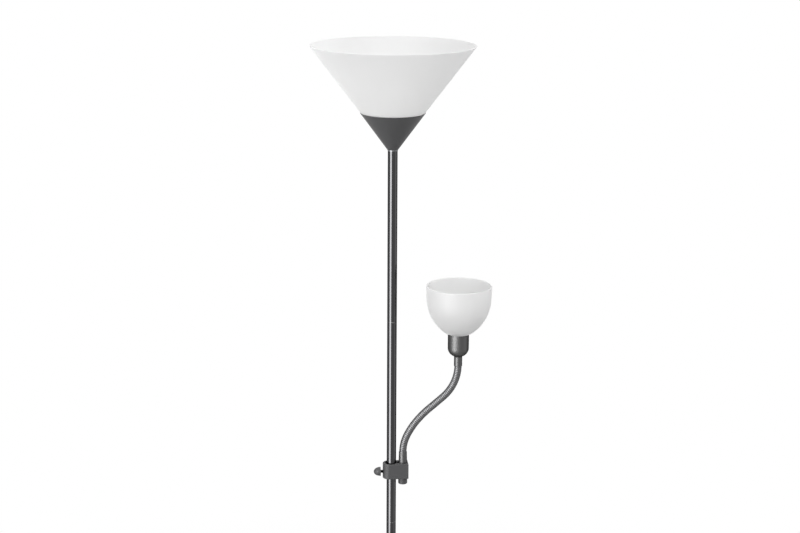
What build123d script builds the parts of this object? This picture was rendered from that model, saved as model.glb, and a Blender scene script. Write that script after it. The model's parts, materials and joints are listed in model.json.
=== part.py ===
from build123d import *
from math import asin, cos, pi, radians, sin, sqrt, tan
import os

# Uplighter floor lamp with a bendable reading light clamped to its pole.
# Millimetres. +Z is up, z = 0 is the floor under the middle of the base, and the arm lies in
# the XZ plane on the +X side of the pole.

# ---- fits ---------------------------------------------------------------------------------
thread_fit = 0.05        # radial, between two pieces screwed or pushed together
running_fit = 0.06       # radial, where one piece turns or slides in another
body_gap = 0.3           # between pieces that move past each other
seat_gap = 0.1           # loose seat of one fixed piece in another

# ---- base ---------------------------------------------------------------------------------
base_radius = 125.0
cover_wall = 1.0
cover_lift = 1.0         # lower edge of the cover's skirt above the floor
cover_edge = 14.0        # height at which the sloping top would meet the skirt
cover_edge_round = 6.0
foot_height = 27.4       # flat top of the cover, where the pole stands
hub_radius = 24.0        # radius of that flat
felt_wall = 2.0
felt_radius = 118.0
weight_side_gap = 1.0
cavity_radius = 16.0     # hollow under the weight's middle, for nut and lead
cavity_top = 19.0
washer_radius = 10.0
washer_wall = 1.5
collar_foot_radius = 17.0
collar_top_radius = 10.5
collar_height = 14.0

# ---- M10 hollow thread used from base to lampholder -----------------------------------------
thread_radius = 5.0
thread_bore = 3.4
nut_flats = 15.0
nut_height = 4.0
bush_length = 16.0
nipple_length = 24.0
nipple_entry = 12.0      # how far a thread enters a bush

# ---- leads ----------------------------------------------------------------------------------
supply_lead_radius = 2.8
supply_lead_height = 6.8
supply_lead_bend = 7.0
inlet_bore = 3.1
inlet_body = 4.3
inlet_flange = 5.2
inlet_flange_wall = 1.6
inlet_length = 15.0
inlet_slack = 0.2        # channel's clearance round the inlet, each side
neck_lead_radius = 2.5

# ---- pole -----------------------------------------------------------------------------------
pole_radius = 7.5
pole_wall = 1.2
section_length = 331.4
lower_sections = 4
top_section_length = 268.0
joint_chamfer = 0.3

# ---- uplighter --------------------------------------------------------------------------------
cup_washer_radius = 7.9
cup_washer_wall = 1.0
cup_height = 56.5
cup_rim_radius = 49.5
cup_wall = 1.0           # measured level
cup_floor = 3.0
shade_height = 101.5     # what shows of the shade above the cup
shade_rim_radius = 125.2
shade_wall = 1.9         # measured level
shade_floor = 1.6
holder_lift = 12.0       # lampholder above the cup's foot
holder_cap_height = 16.0
holder_cap_foot = 12.0
holder_cap_slope = 9.0
holder_radius = 19.8
holder_wall = 2.0
holder_thread = 19.5
holder_seat_radius = 21.5
holder_seat_wall = 2.0
holder_barrel_height = 34.0
holder_seat_height = 5.0  # seat above the barrel's foot
ring_radius = 25.0
ring_height = 8.0
core_disc = 9.0
screw_shell = 0.35       # sheet of a bulb's and a holder's screw shells
bulb_cap_radius = 13.2
bulb_globe_radius = 27.5
bulb_length = 95.0
bulb_cap_length = 24.0
glass_wall = 1.0

# ---- clamp on the pole --------------------------------------------------------------------------
clamp_foot = 1095.7
clamp_height = 25.0
clamp_left_end = 6.2     # from the pole's face to the block's screw end
clamp_right_end = 8.2    # from the neck's axis to the block's arm end
clamp_side_wall = 1.5    # beside the pocket for the pole
clamp_left_flat = 0.1    # half the flat left at the block's rounded screw end
clamp_right_round = 4.0
clamp_edge_round = 1.1
clamp_floor = 6.5
pole_pocket_play = 1.5   # pocket's radius beyond the pole's
pole_pocket_shift = -1.2
slot_width = 8.0
ring_wall = 1.05
ring_flange_width = 0.49
ring_flange_wall = 1.0
screw_radius = 2.5
screw_pitch = 0.8
screw_above_foot = 10.4
pad_radius = 3.0
pad_wall = 1.3
pad_gap = 0.2            # pad to pole when tight
spigot_radius = 1.4
spigot_length = 0.8
pad_room = 3.0           # from the pole's face to the insert
insert_radius = 3.5
insert_length = 2.5
knob_stand = 9.5         # from the pole's face to the knob
knob_radius = 7.35
knob_length = 11.0
knob_lip = 1.6
knob_grip = 6.0          # how far the screw enters the knob

# ---- bendable neck ------------------------------------------------------------------------------
arm_stand = 10.7         # from the pole's face to the axis of the neck's foot
neck_crest = 5.75
rib_depth = 0.5
neck_bore = 3.2
neck_arc = 28.5          # length of each arc of the centre line
neck_turns = (26.0, 13.3, 10.7, -1.5, -24.5, -24.0)   # degrees, outwards positive
rib_pitch = 2.85
neck_swing = 15.0        # degrees that each joint of the neck may bend
neck_seat = 10.0         # how far the neck's ends enter the ferrules
ferrule_rise = 17.3      # lower ferrule above the clamp
ferrule_foot_wall = 0.85
ferrule_top_wall = 0.45
dimple_radius = 0.9
dimple_drop = 5.6        # punch mark below the ferrule's mouth
gland_radius = 7.2
gland_collar_radius = 6.6
gland_collar_height = 0.8
gland_height = 10.3
gland_floor = 1.7
gland_round = 1.3

# ---- reading head -------------------------------------------------------------------------------
head_ferrule_wall = 0.6
head_ferrule_length = 15.3
spigot_rise = 7.0        # ferrule's threaded spigot inside the socket cup
socket_radius = 16.5
socket_height = 38.0
socket_round = 14.0
socket_wall = 0.9
head_nut_radius = 7.5
head_nut_height = 3.5
small_holder_lift = 8.6
small_holder_radius = 13.8
small_holder_wall = 1.5
small_flange_gap = 0.2
small_flange_wall = 2.0
small_holder_rise = 10.0  # mouth above the socket cup
small_ring_radius = 18.0
small_ring_height = 6.0
small_core_disc = 12.5
small_cap_radius = 6.95
small_cap_length = 24.0
small_globe_radius = 22.5
small_bulb_length = 71.0
reading_rim_radius = 51.2
reading_shoulder_radius = 50.3
reading_shoulder_height = 56.7
reading_height = 76.0
reading_curve = 68.0
reading_wall = 2.2

# ---- places worked out from the sizes -------------------------------------------------------------
pole_bore = pole_radius - pole_wall
pole_top = foot_height + lower_sections * section_length + top_section_length
cup_foot = pole_top + cup_washer_wall
cup_top = cup_foot + cup_height
shade_top = cup_top + shade_height
screw_height = clamp_foot + screw_above_foot
ferrule_seat = clamp_foot + clamp_floor
arm_reach = pole_radius + arm_stand
clamp_left = pole_radius + clamp_left_end
clamp_right = arm_reach + clamp_right_end
pole_pocket_radius = pole_radius + pole_pocket_play
clamp_half = pole_pocket_radius + clamp_side_wall
insert_face = pole_radius + pad_room
insert_outer_face = insert_face + insert_length
knob_face = pole_radius + knob_stand
neck_root_radius = neck_crest - rib_depth
ferrule_bore = neck_crest + seat_gap
ferrule_foot_radius = ferrule_bore + ferrule_foot_wall
ferrule_top_radius = ferrule_bore + ferrule_top_wall
neck_foot = clamp_foot + clamp_height + ferrule_rise
neck_length = neck_arc * len(neck_turns)

os.makedirs("parts", exist_ok=True)


def save(made, name):
    """Label a finished piece and write its file."""
    made.part.label = name
    export_step(made.part, f"parts/{name}.step")


def half_plane(x=0.0):
    """The upright plane for a half outline of (radius, height), its axis standing at x."""
    return Plane(origin=(x, 0, 0), x_dir=(1, 0, 0), z_dir=(0, -1, 0))


def upright(x=0.0):
    """The upright axis at x."""
    return Axis((x, 0, 0), (0, 0, 1))


def turned(outline, x=0.0):
    """A solid turned about the upright axis at x from its half outline."""
    with BuildPart() as made:
        with BuildSketch(half_plane(x)):
            with BuildLine():
                Polyline(*outline, close=True)
            make_face()
        revolve(axis=upright(x))
    return made.part


def tube(outer, inner, foot, height, x=0.0):
    """A round tube standing at x."""
    outline = [(inner, foot), (outer, foot), (outer, foot + height), (inner, foot + height)]
    return turned(outline, x)


def edges_at(made, height, radius, x=0.0):
    """The round edges of one radius about the axis at x that lie at one height."""
    found = made.edges().filter_by(GeomType.CIRCLE)
    return [
        e for e in found
        if abs(e.arc_center.Z - height) < 0.01 and abs(e.radius - radius) < 0.01
        and abs(e.arc_center.X - x) < 0.01
    ]


# ==== base ===========================================================================================
slope = (foot_height - cover_edge) / (base_radius - hub_radius)

with BuildPart() as base_felt:
    add(tube(felt_radius, 0, 0, felt_wall))
save(base_felt, "base_felt")

with BuildPart() as base_cover:
    add(turned([
        (0, cover_lift),
        (base_radius, cover_lift),
        (base_radius, cover_edge),
        (hub_radius, foot_height),
        (0, foot_height),
    ]))
    fillet(edges_at(base_cover, cover_edge, base_radius), cover_edge_round)
    offset(amount=-cover_wall, openings=base_cover.faces().sort_by(Axis.Z)[0])
    with BuildSketch(Plane.XY.offset(foot_height)):
        Circle(thread_radius + seat_gap)
    extrude(amount=-2 * cover_wall, mode=Mode.SUBTRACT)
    with BuildSketch(Plane.YZ.offset(-base_radius - cover_wall)):
        with Locations((0, supply_lead_height)):
            Circle(inlet_body + seat_gap)
    extrude(amount=inlet_length, mode=Mode.SUBTRACT)
save(base_cover, "base_cover")

weight_radius = base_radius - cover_wall - weight_side_gap
weight_top = foot_height - cover_wall
weight_edge = weight_top - slope * (weight_radius - hub_radius) - body_gap
channel_top = supply_lead_height + inlet_body + inlet_slack
with BuildPart() as base_weight:
    add(turned([
        (thread_radius + body_gap, cavity_top),
        (cavity_radius, cavity_top),
        (cavity_radius, felt_wall),
        (weight_radius, felt_wall),
        (weight_radius, weight_edge),
        (hub_radius, weight_top - body_gap),
        (hub_radius - cover_wall, weight_top),
        (thread_radius + body_gap, weight_top),
    ]))
    fillet(edges_at(base_weight, weight_edge, weight_radius), cover_edge_round)
    with BuildSketch(Plane.YZ.offset(-base_radius)):
        with Locations((0, (felt_wall + channel_top) / 2)):
            Rectangle(2 * (inlet_body + inlet_slack), channel_top - felt_wall)
    extrude(amount=base_radius - cavity_radius / 2, mode=Mode.SUBTRACT)
save(base_weight, "base_weight")

with BuildPart() as base_washer:
    add(tube(washer_radius, thread_radius + seat_gap, cavity_top - washer_wall, washer_wall))
save(base_washer, "base_washer")

# two identical hexagon nuts: one under the base's weight, one in the uplighter's cup
base_nut_foot = cavity_top - washer_wall - nut_height
with BuildPart() as thread_nuts:
    for nut_foot in (base_nut_foot, cup_foot + cup_floor):
        with BuildSketch(Plane.XY.offset(nut_foot)):
            RegularPolygon(nut_flats / 2, 6, major_radius=False)
            Circle(thread_radius + thread_fit, mode=Mode.SUBTRACT)
        extrude(amount=nut_height)
save(thread_nuts, "thread_nuts")

with BuildPart() as base_stud:
    stud_top = foot_height + nipple_entry
    add(tube(thread_radius, thread_bore, base_nut_foot - seat_gap, stud_top - base_nut_foot + seat_gap))
save(base_stud, "base_stud")

with BuildPart() as mains_inlet:
    with BuildSketch(Plane.YZ.offset(-base_radius - inlet_flange_wall)):
        with Locations((0, supply_lead_height)):
            Circle(inlet_flange)
    extrude(amount=inlet_flange_wall)
    with BuildSketch(Plane.YZ.offset(-base_radius)):
        with Locations((0, supply_lead_height)):
            Circle(inlet_body)
    extrude(amount=inlet_length)
    with BuildSketch(Plane.YZ.offset(-base_radius - inlet_flange_wall)):
        with Locations((0, supply_lead_height)):
            Circle(inlet_bore)
    extrude(amount=inlet_length + inlet_flange_wall, mode=Mode.SUBTRACT)
save(mains_inlet, "mains_inlet")

collar_bore = pole_radius + seat_gap
with BuildPart() as foot_collar:
    add(turned([
        (collar_bore, foot_height),
        (collar_foot_radius, foot_height),
        (collar_foot_radius, foot_height + cover_wall),
        (collar_top_radius, foot_height + collar_height),
        (collar_bore, foot_height + collar_height),
    ]))
    fillet(edges_at(foot_collar, foot_height + collar_height, collar_top_radius), cover_wall)
save(foot_collar, "foot_collar")

# ==== pole ===========================================================================================
section_feet = [foot_height + k * section_length for k in range(lower_sections + 1)]
section_lengths = [section_length] * lower_sections + [top_section_length]
for number, (foot, length) in enumerate(zip(section_feet, section_lengths), start=1):
    with BuildPart() as pole_section:
        add(tube(pole_radius, pole_bore, foot, length))
        ends = edges_at(pole_section, foot, pole_radius)
        ends += edges_at(pole_section, foot + length, pole_radius)
        chamfer(ends, joint_chamfer)
    save(pole_section, f"pole_section_{number}")

# identical threaded bushes pressed into both ends of every section
with BuildPart() as pole_bushes:
    for foot, length in zip(section_feet, section_lengths):
        for bush_foot in (foot + seat_gap, foot + length - bush_length - seat_gap):
            add(tube(pole_bore, thread_radius + thread_fit, bush_foot, bush_length))
save(pole_bushes, "pole_bushes")

# identical hollow nipples that join one section to the next
with BuildPart() as pole_nipples:
    for foot in section_feet[1:]:
        add(tube(thread_radius, thread_bore, foot - nipple_length / 2, nipple_length))
save(pole_nipples, "pole_nipples")

# ==== uplighter ======================================================================================
with BuildPart() as cup_washer:
    add(tube(cup_washer_radius, thread_radius + seat_gap, pole_top, cup_washer_wall))
save(cup_washer, "cup_washer")

cup_slope = (cup_rim_radius - cup_washer_radius) / cup_height


def cup_inside(height):
    """Inner radius of the cup at a height."""
    return cup_washer_radius + cup_slope * (height - cup_foot) - cup_wall


floor_top = cup_foot + cup_floor
with BuildPart() as shade_cup:
    add(turned([
        (thread_radius + seat_gap, cup_foot),
        (cup_washer_radius, cup_foot),
        (cup_rim_radius, cup_top),
        (cup_rim_radius - cup_wall, cup_top),
        (cup_inside(floor_top), floor_top),
        (thread_radius + seat_gap, floor_top),
    ]))
save(shade_cup, "shade_cup")

holder_foot = cup_foot + holder_lift
barrel_foot = holder_foot + holder_cap_height
with BuildPart() as top_nipple:
    nipple_foot = pole_top - nipple_entry
    add(tube(thread_radius, thread_bore, nipple_foot, holder_foot + nipple_entry / 2 - nipple_foot))
save(top_nipple, "top_nipple")

with BuildPart() as lampholder_cap:
    add(turned([
        (thread_radius + thread_fit, holder_foot),
        (holder_cap_foot, holder_foot),
        (holder_radius, holder_foot + holder_cap_slope),
        (holder_radius, barrel_foot),
        (holder_radius - holder_wall, barrel_foot),
        (holder_radius - holder_wall, holder_foot + holder_cap_slope + holder_wall / 2),
        (holder_cap_foot - holder_wall / 2, holder_foot + holder_wall),
        (thread_radius + thread_fit, holder_foot + holder_wall),
    ]))
save(lampholder_cap, "lampholder_cap")

barrel_top = barrel_foot + holder_barrel_height
seat_foot = barrel_foot + holder_seat_height
shade_foot = seat_foot + holder_seat_wall
barrel_bore = holder_thread - holder_wall
with BuildPart() as lampholder_barrel:
    add(turned([
        (barrel_bore, barrel_foot),
        (holder_radius, barrel_foot),
        (holder_radius, seat_foot),
        (holder_seat_radius, seat_foot),
        (holder_seat_radius, shade_foot),
        (holder_thread, shade_foot),
        (holder_thread, barrel_top),
        (barrel_bore, barrel_top),
    ]))
save(lampholder_barrel, "lampholder_barrel")


def holder_inside(prefix, x, core_radius, foot, disc, top, cap_radius):
    """Insulating core of a lampholder, and its screw shell with the centre contact."""
    sleeve_inner = cap_radius + seat_gap
    sleeve_outer = sleeve_inner + screw_shell
    with BuildPart() as core:
        add(turned([
            (0, foot),
            (core_radius, foot),
            (core_radius, top - seat_gap),
            (sleeve_outer + thread_fit, top - seat_gap),
            (sleeve_outer + thread_fit, foot + disc),
            (0, foot + disc),
        ], x))
    save(core, f"{prefix}_core")
    with BuildPart() as contacts:
        add(tube(sleeve_outer, sleeve_inner, foot + disc, top - 2 * screw_shell - foot - disc, x))
        add(tube(sleeve_inner / 4, 0, foot + disc, screw_shell, x))
    save(contacts, f"{prefix}_contacts")
    return foot + disc + 2 * screw_shell


def bulb(prefix, x, foot, cap_radius, cap_length, globe_radius, length):
    """A bulb: a closed screw cap and a hollow glass globe on a tapering neck."""
    cap_top = foot + cap_length
    with BuildPart() as cap:
        add(turned([
            (0, foot),
            (cap_radius / 3, foot),
            (cap_radius, foot + cap_length / 6),
            (cap_radius, cap_top),
            (cap_radius - screw_shell, cap_top),
            (cap_radius - screw_shell, foot + cap_length / 6 + screw_shell),
            (0, foot + cap_length / 6),
        ], x))
    save(cap, f"{prefix}_cap")
    neck_radius = cap_radius - screw_shell - thread_fit
    neck_start = cap_top - cap_length / 3
    centre = foot + length - globe_radius
    leave = radians(50)
    side = (globe_radius * cos(leave), centre - globe_radius * sin(leave))
    with BuildPart() as glass:
        with BuildSketch(half_plane(x)):
            with BuildLine():
                Polyline((0, centre + globe_radius), (0, neck_start), (neck_radius, neck_start),
                         (neck_radius, cap_top + cap_length / 8), side)
                ThreePointArc(side, (globe_radius, centre), (0, centre + globe_radius))
            make_face()
        revolve(axis=upright(x))
        offset(amount=-glass_wall, openings=glass.faces().sort_by(Axis.Z)[0])
    save(glass, f"{prefix}_glass")


core_foot = barrel_foot + seat_gap
bulb_foot = holder_inside("lampholder", 0, barrel_bore - seat_gap, core_foot, core_disc,
                          barrel_top, bulb_cap_radius)
bulb("uplighter_bulb", 0, bulb_foot, bulb_cap_radius, bulb_cap_length, bulb_globe_radius, bulb_length)

ring_foot = shade_foot + shade_floor
with BuildPart() as shade_ring:
    add(turned([
        (holder_thread + thread_fit, ring_foot),
        (ring_radius, ring_foot),
        (ring_radius, ring_foot + shade_floor),
        (ring_radius - holder_wall, ring_foot + ring_height),
        (holder_thread + thread_fit, ring_foot + ring_height),
    ]))
save(shade_ring, "shade_ring")

shade_at_cup = cup_rim_radius - cup_wall - seat_gap
shade_slope = (shade_rim_radius - shade_at_cup) / shade_height


def shade_outside(height):
    """Outer radius of the uplighter's shade at a height at or below the cup's rim."""
    own_line = shade_at_cup - shade_slope * (cup_top - height)
    return min(own_line, cup_inside(height) - seat_gap)


with BuildPart() as uplighter_shade:
    add(turned([
        (holder_thread + seat_gap, shade_foot),
        (shade_outside(shade_foot), shade_foot),
        (shade_at_cup, cup_top),
        (shade_rim_radius, shade_top),
        (shade_rim_radius - shade_wall, shade_top),
        (shade_at_cup - shade_wall, cup_top),
        (shade_outside(ring_foot) - shade_wall, ring_foot),
        (holder_thread + seat_gap, ring_foot),
    ]))
    rim = edges_at(uplighter_shade, shade_top, shade_rim_radius)
    rim += edges_at(uplighter_shade, shade_top, shade_rim_radius - shade_wall)
    fillet(rim, shade_wall / 8)
save(uplighter_shade, "uplighter_shade")

# the mains lead, whole from the base's inlet to the lampholder's foot
lead_start = base_radius - inlet_length - 2 * body_gap
lead_end = holder_foot + holder_wall + nipple_entry / 2
with BuildPart() as supply_lead:
    with BuildLine():
        FilletPolyline((-lead_start, 0, supply_lead_height), (0, 0, supply_lead_height),
                       (0, 0, lead_end), radius=supply_lead_bend)
    with BuildSketch(Plane.YZ.offset(-lead_start)):
        with Locations((0, supply_lead_height)):
            Circle(supply_lead_radius)
    sweep()
save(supply_lead, "supply_lead")

# ==== clamp on the pole ==============================================================================
ring_bore = pole_radius + running_fit
ring_outer = ring_bore + ring_wall
ring_flange_radius = ring_outer + ring_flange_width
ring_recess = ring_flange_wall + seat_gap

with BuildPart() as clamp_block:
    with BuildSketch(Plane.XY.offset(clamp_foot)):
        with Locations(((clamp_right - clamp_left) / 2, 0)):
            block = Rectangle(clamp_left + clamp_right, 2 * clamp_half)
        fillet(block.vertices().sort_by(Axis.X)[:2], clamp_half - clamp_left_flat)
        fillet(block.vertices().sort_by(Axis.X)[-2:], clamp_right_round)
    extrude(amount=clamp_height)
    outer_edges = clamp_block.edges().group_by(Axis.Z)[0] + clamp_block.edges().group_by(Axis.Z)[-1]
    fillet(outer_edges, clamp_edge_round)
    with BuildSketch(Plane.XY.offset(ferrule_seat)):
        with Locations((pole_pocket_shift, 0)):
            Circle(pole_pocket_radius)
        with Locations((arm_reach, 0)):
            Circle(ferrule_foot_radius + body_gap)
        with Locations((arm_reach / 2, 0)):
            Rectangle(arm_reach, slot_width)
    extrude(amount=clamp_height, mode=Mode.SUBTRACT)
    with BuildSketch(Plane.XY.offset(clamp_foot)):
        Circle(ring_outer + running_fit)
        with Locations((arm_reach, 0)):
            Circle(thread_radius + seat_gap)
    extrude(amount=clamp_floor, mode=Mode.SUBTRACT)
    with BuildSketch(Plane.XY.offset(clamp_foot)):
        Circle(ring_flange_radius + body_gap / 3)
    extrude(amount=ring_recess, mode=Mode.SUBTRACT)
    with BuildSketch(Plane.YZ.offset(-clamp_left)):
        with Locations((0, screw_height)):
            Circle(screw_radius + body_gap)
    extrude(amount=clamp_left, mode=Mode.SUBTRACT)
    with BuildSketch(Plane.YZ.offset(-insert_outer_face)):
        with Locations((0, screw_height)):
            Circle(insert_radius)
    extrude(amount=insert_outer_face - pole_pocket_radius, mode=Mode.SUBTRACT)
save(clamp_block, "clamp_block")

with BuildPart() as clamp_ring:
    add(turned([
        (ring_bore, clamp_foot),
        (ring_flange_radius, clamp_foot),
        (ring_flange_radius, clamp_foot + ring_flange_wall),
        (ring_outer, clamp_foot + ring_flange_wall),
        (ring_outer, ferrule_seat - seat_gap),
        (ring_bore, ferrule_seat - seat_gap),
    ]))
save(clamp_ring, "clamp_ring")


def screw_plane(from_axis):
    """Plane square to the thumb screw, a distance out from the pole's axis, facing outwards."""
    return Plane(origin=(-from_axis, 0, screw_height), x_dir=(0, 1, 0), z_dir=(-1, 0, 0))


with BuildPart() as screw_insert:
    with BuildSketch(screw_plane(insert_face)):
        Circle(insert_radius)
        Circle(screw_radius + running_fit, mode=Mode.SUBTRACT)
    extrude(amount=insert_length)
save(screw_insert, "screw_insert")

pad_face = pole_radius + pad_gap
pad_back = pad_face + pad_wall
with BuildPart() as pressure_pad:
    with BuildSketch(screw_plane(pad_face)):
        Circle(pad_radius)
    extrude(amount=pad_wall)
    with BuildSketch(screw_plane(pad_back)):
        Circle(spigot_radius + running_fit)
    extrude(amount=-spigot_length - running_fit, mode=Mode.SUBTRACT)
    fillet(pressure_pad.edges().filter_by(GeomType.CIRCLE).sort_by(Axis.X)[-1], pad_wall / 4)
save(pressure_pad, "pressure_pad")

with BuildPart() as thumb_screw:
    with BuildSketch(screw_plane(pad_back + running_fit)):
        Circle(screw_radius)
    extrude(amount=knob_face + knob_grip - pad_back - running_fit)
    with BuildSketch(screw_plane(pad_back + running_fit)):
        Circle(spigot_radius)
    extrude(amount=-spigot_length)
save(thumb_screw, "thumb_screw")

knob_plane = Plane(origin=(-knob_face, 0, screw_height), x_dir=(-1, 0, 0), z_dir=(0, -1, 0))
dome_edge = knob_radius - knob_lip / 4
with BuildPart() as screw_knob:
    with BuildSketch(knob_plane):
        with BuildLine():
            Polyline((knob_length, 0), (0, 0), (0, knob_radius), (knob_lip, knob_radius),
                     (knob_lip, dome_edge))
            EllipticalCenterArc((knob_lip, 0), knob_length - knob_lip, dome_edge, 0, arc_size=90)
        make_face()
    revolve(axis=Axis((0, 0, screw_height), (1, 0, 0)))
    with BuildSketch(screw_plane(knob_face)):
        Circle(screw_radius)
    extrude(amount=knob_grip, mode=Mode.SUBTRACT)
save(screw_knob, "screw_knob")

# ==== ferrule and lead gland under it ================================================================
gland_foot = clamp_foot - gland_height - seat_gap
gland_top = clamp_foot - seat_gap
gland_thread_foot = gland_foot + gland_floor
with BuildPart() as gland_nut:
    add(turned([
        (inlet_bore, gland_foot),
        (gland_radius, gland_foot),
        (gland_radius, gland_top - gland_collar_height),
        (gland_collar_radius, gland_top - gland_collar_height),
        (gland_collar_radius, gland_top),
        (thread_radius + thread_fit, gland_top),
        (thread_radius + thread_fit, gland_thread_foot),
        (inlet_bore, gland_thread_foot),
    ], arm_reach))
    fillet(edges_at(gland_nut, gland_foot, gland_radius, arm_reach), gland_round)
save(gland_nut, "gland_nut")

ferrule_bore_foot = neck_foot - neck_seat - seat_gap
with BuildPart() as lower_ferrule:
    add(turned([
        (thread_bore, gland_thread_foot + seat_gap),
        (thread_radius, gland_thread_foot + seat_gap),
        (thread_radius, ferrule_seat),
        (ferrule_foot_radius, ferrule_seat),
        (ferrule_foot_radius, clamp_foot + clamp_height),
        (ferrule_top_radius, neck_foot),
        (ferrule_bore, neck_foot),
        (ferrule_bore, ferrule_bore_foot),
        (thread_bore, ferrule_bore_foot),
    ], arm_reach))
    with BuildSketch(Plane.XZ.offset(ferrule_foot_radius)):
        with Locations((arm_reach, neck_foot - dimple_drop)):
            Circle(dimple_radius)
    extrude(amount=-(ferrule_foot_radius - ferrule_bore) * 0.8, mode=Mode.SUBTRACT)
save(lower_ferrule, "lower_ferrule")


# ==== bendable neck ==================================================================================
def neck_plane(distance):
    """Plane square to the neck's centre line, a distance along it from the lower ferrule's mouth.

    The line is straight before and after the arcs. Its plane's X axis always lies along Y.
    """
    x, z, heading = arm_reach, neck_foot + min(distance, 0.0), 0.0
    left = max(distance, 0.0)
    for turn in neck_turns:
        run = min(left, neck_arc)
        bend = radians(turn) * run / neck_arc
        chord = run * sin(bend / 2) / (bend / 2) if bend else run
        x += chord * sin(heading + bend / 2)
        z += chord * cos(heading + bend / 2)
        heading += bend
        left -= run
    x += left * sin(heading)
    z += left * cos(heading)
    return Plane(origin=(x, 0, z), x_dir=(0, 1, 0), z_dir=(sin(heading), 0, cos(heading)))


def relief(radius):
    """How far an end stands back from its pivot, so that two ends can swing together."""
    return radius * tan(radians(neck_swing / 2)) + thread_fit


def ribbed(name, start, end, start_swings, end_swings):
    """A stretch of neck: ribs of four circles each in one ruled loft, and its bore.

    An end that swings is a blunt cone whose point lies on the pivot.
    """
    first = start + relief(neck_root_radius) * start_swings
    last = end - relief(neck_root_radius) * end_swings
    stations = []
    if start_swings:
        stations.append((start + relief(neck_bore + seat_gap), neck_bore + seat_gap))
    ribs = round((end - start) / rib_pitch)
    pitch = (end - start) / ribs
    shape = ((0.1, neck_root_radius), (0.3, neck_crest), (0.7, neck_crest), (0.9, neck_root_radius))
    for rib in range(ribs):
        for share, radius in shape:
            here = start + (rib + share) * pitch
            step = (share - 0.1) * seat_gap
            stations.append((min(max(here, first + step), last - seat_gap + step), radius))
    if end_swings:
        stations.append((end - relief(neck_bore + seat_gap), neck_bore + seat_gap))
    with BuildPart() as made:
        for distance, radius in stations:
            with BuildSketch(neck_plane(distance)):
                Circle(radius)
        loft(ruled=True)
        for rib in range(-1, ribs + 2):
            with BuildSketch(neck_plane(start + rib * pitch)):
                Circle(neck_bore)
        loft(ruled=True, mode=Mode.SUBTRACT)
    save(made, name)


def lead_stretch(name, start, end, start_domed, end_domed):
    """The lead inside one stretch of neck, with a domed end at each pivot."""
    dome = ((0.06, 0.35), (0.35, 0.75), (0.95, 1.0))
    stations = [(start, neck_lead_radius)]
    if start_domed:
        stations = [(start + seat_gap + deep * neck_lead_radius, wide * neck_lead_radius)
                    for deep, wide in dome]
    steps = max(2, round((end - start) / neck_arc * 8))
    margin = neck_lead_radius * 1.2
    for k in range(1, steps):
        here = start + margin + (end - start - 2 * margin) * k / steps
        stations.append((here, neck_lead_radius))
    if end_domed:
        stations += [(end - seat_gap - deep * neck_lead_radius, wide * neck_lead_radius)
                     for deep, wide in reversed(dome)]
    else:
        stations.append((end, neck_lead_radius))
    with BuildPart() as made:
        for distance, radius in stations:
            with BuildSketch(neck_plane(distance)):
                Circle(radius)
        loft(ruled=True)
    save(made, name)


pivots = [(k + 0.5) * neck_arc for k in range(len(neck_turns))]
head_plane = neck_plane(neck_length)
head_x = head_plane.origin.X
head_foot = head_plane.origin.Z

ribbed("neck_root", -neck_seat, pivots[0], False, True)
ribbed("neck_tip", pivots[-1], neck_length + neck_seat, True, False)
lead_stretch("neck_lead_root", gland_thread_foot + 3 * seat_gap - neck_foot, pivots[0], False, True)
for number, (low, high) in enumerate(zip(pivots, pivots[1:]), start=1):
    ribbed(f"neck_{number}", low, high, True, True)
    lead_stretch(f"neck_lead_{number}", low, high, True, True)

# ==== reading head ===================================================================================
socket_foot = head_foot + head_ferrule_length
socket_top = socket_foot + socket_height
spigot_top = socket_foot + spigot_rise
head_bore_top = head_foot + neck_seat + seat_gap
head_ferrule_radius = ferrule_bore + head_ferrule_wall
with BuildPart() as upper_ferrule:
    add(turned([
        (ferrule_bore, head_foot),
        (head_ferrule_radius, head_foot),
        (head_ferrule_radius, socket_foot),
        (thread_radius, socket_foot),
        (thread_radius, spigot_top),
        (thread_bore, spigot_top),
        (thread_bore, head_bore_top),
        (ferrule_bore, head_bore_top),
    ], head_x))
save(upper_ferrule, "upper_ferrule")

with BuildPart() as socket_cup:
    add(tube(socket_radius, 0, socket_foot, socket_height, head_x))
    fillet(edges_at(socket_cup, socket_foot, socket_radius, head_x), socket_round)
    offset(amount=-socket_wall, openings=socket_cup.faces().sort_by(Axis.Z)[-1])
    with BuildSketch(Plane((head_x, 0, socket_foot))):
        Circle(thread_radius + seat_gap)
    extrude(amount=2 * socket_wall, mode=Mode.SUBTRACT)
save(socket_cup, "socket_cup")

inner_round = socket_round - socket_wall
nut_reach = head_nut_radius - (socket_radius - socket_round)
nut_seat = socket_foot + socket_wall + inner_round - sqrt(inner_round ** 2 - nut_reach ** 2)
with BuildPart() as socket_nut:
    add(tube(head_nut_radius, thread_radius + thread_fit, nut_seat + seat_gap, head_nut_height, head_x))
save(socket_nut, "socket_nut")

small_foot = socket_foot + small_holder_lift
small_mouth = socket_top + small_holder_rise
small_bore = small_holder_radius - small_holder_wall
small_flange_radius = socket_radius - socket_wall - small_flange_gap
with BuildPart() as reading_holder:
    add(turned([
        (thread_bore, small_foot),
        (small_holder_radius - small_holder_wall, small_foot),
        (small_holder_radius, small_foot + small_holder_wall),
        (small_holder_radius, socket_top - small_flange_wall),
        (small_flange_radius, socket_top - small_flange_wall),
        (small_flange_radius, socket_top),
        (small_holder_radius, socket_top),
        (small_holder_radius, small_mouth),
        (small_bore, small_mouth),
        (small_bore, small_foot + small_holder_wall),
        (thread_bore, small_foot + small_holder_wall),
    ], head_x))
save(reading_holder, "reading_holder")

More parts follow.
